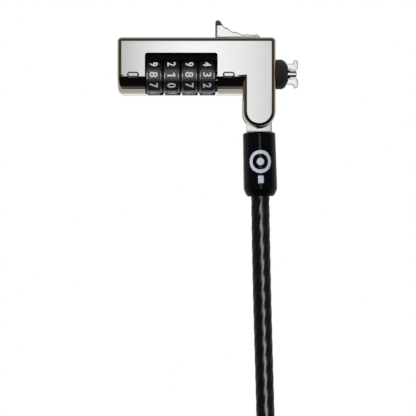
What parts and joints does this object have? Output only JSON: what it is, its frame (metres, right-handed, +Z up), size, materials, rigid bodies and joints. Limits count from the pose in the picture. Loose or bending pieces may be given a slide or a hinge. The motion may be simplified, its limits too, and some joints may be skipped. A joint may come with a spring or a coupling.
{
  "type": "laptop cable lock",
  "caption": "Number-wheel cable lock for a laptop: a metal housing with a hooked head for a security slot, a sliding release, and a swivelling steel cable with an end eye.",
  "frame": {"origin": "under the middle of the lock without its cable, on the plane it lies on", "axes": "+Z up through the face with the numbers, +X towards the head, +Y towards the thumb slider's edge"},
  "size_m": [0.0798, 0.1962, 0.0249],
  "materials": {
    "plated_case": "satin plated",
    "steel": "satin",
    "mark": "glossy",
    "black_plastic": "matt",
    "wheel_plastic": "satin black",
    "ring_brass": "machined",
    "collar_rubber": "matt",
    "gloss_black": "glossy",
    "cable_sheath": "clear sheath over dark strands",
    "tie_fabric": "woven"
  },
  "bodies": {
    "lock": {"front_housing": "plated_case", "rear_cover": "plated_case", "cover_screws": "steel", "claw_pins": "steel", "pivot_pin": "steel", "index_mark_left": "mark", "index_mark_right": "mark", "dial_shroud": "black_plastic", "detent_spring": "steel", "nose_bush": "steel", "rubber_collar": "collar_rubber"},
    "slider": {"thumb_slider": "plated_case", "slider_carriage": "steel", "slider_pin": "steel", "blade_pin": "steel", "spindle": "steel", "locking_blade": "steel", "return_spring": "steel"},
    "upper_claw": {"upper_claw": "plated_case"},
    "lower_claw": {"lower_claw": "plated_case"},
    "change_screw": {"code_change_screw": "steel"},
    "link": {"pivot_link": "plated_case", "swivel_ring": "steel"},
    "cable": {"ferrule_sleeve": "gloss_black", "cable_crimp": "steel", "cable_lead": "cable_sheath", "cable_coil": "cable_sheath", "cable_eye": "cable_sheath", "eye_sleeve": "steel", "coil_tie": "tie_fabric"},
    "wheel_1": {"number_wheel_1": "wheel_plastic", "code_ring_1": "ring_brass"},
    "wheel_2": {"number_wheel_2": "wheel_plastic", "code_ring_2": "ring_brass"},
    "wheel_3": {"number_wheel_3": "wheel_plastic", "code_ring_3": "ring_brass"},
    "wheel_4": {"number_wheel_4": "wheel_plastic", "code_ring_4": "ring_brass"}
  },
  "joints": [
    {"name": "wheel_1_spin", "type": "hinge", "parent": "lock", "child": "wheel_1", "pos_m": [-0.0161, 0.0097, 0.0071], "axis": [1, 0, 0], "continuous": true},
    {"name": "wheel_2_spin", "type": "hinge", "parent": "lock", "child": "wheel_2", "pos_m": [-0.01081, 0.0097, 0.0071], "axis": [1, 0, 0], "continuous": true},
    {"name": "wheel_3_spin", "type": "hinge", "parent": "lock", "child": "wheel_3", "pos_m": [-0.00552, 0.0097, 0.0071], "axis": [1, 0, 0], "continuous": true},
    {"name": "wheel_4_spin", "type": "hinge", "parent": "lock", "child": "wheel_4", "pos_m": [-0.00023, 0.0097, 0.0071], "axis": [1, 0, 0], "continuous": true},
    {"name": "slider_slide", "type": "slide", "parent": "lock", "child": "slider", "axis": [1, 0, 0], "range_m": [-0.003, 0], "stiffness_N_per_m": 250, "springref_m": 0.0012, "deforming": ["return_spring"]},
    {"name": "upper_claw_turn", "type": "hinge", "parent": "lock", "child": "upper_claw", "pos_m": [0.0132, 0.01385, 0.0071], "axis": [0, 0, 1], "range_deg": [-3.5, 0]},
    {"name": "lower_claw_turn", "type": "hinge", "parent": "lock", "child": "lower_claw", "pos_m": [0.0132, 0.00665, 0.0071], "axis": [0, 0, 1], "range_deg": [0, 3.5]},
    {"name": "link_swing", "type": "hinge", "parent": "lock", "child": "link", "pos_m": [0.0152, -0.001, 0.0062], "axis": [0, 0, 1], "range_deg": [-80, 90]},
    {"name": "cable_swivel", "type": "hinge", "parent": "link", "child": "cable", "pos_m": [0.0152, -0.001, 0.0062], "axis": [0.0244, -0.9997, 0], "continuous": true},
    {"name": "change_screw_turn", "type": "hinge", "parent": "lock", "child": "change_screw", "pos_m": [-0.0269, 0.0097, 0.0071], "axis": [1, 0, 0], "range_deg": [0, 90]}
  ],
  "couplings": [
    {"joint": "upper_claw_turn", "follows": "slider_slide", "rad_per_m": 19.78},
    {"joint": "lower_claw_turn", "follows": "slider_slide", "rad_per_m": -19.78}
  ]
}
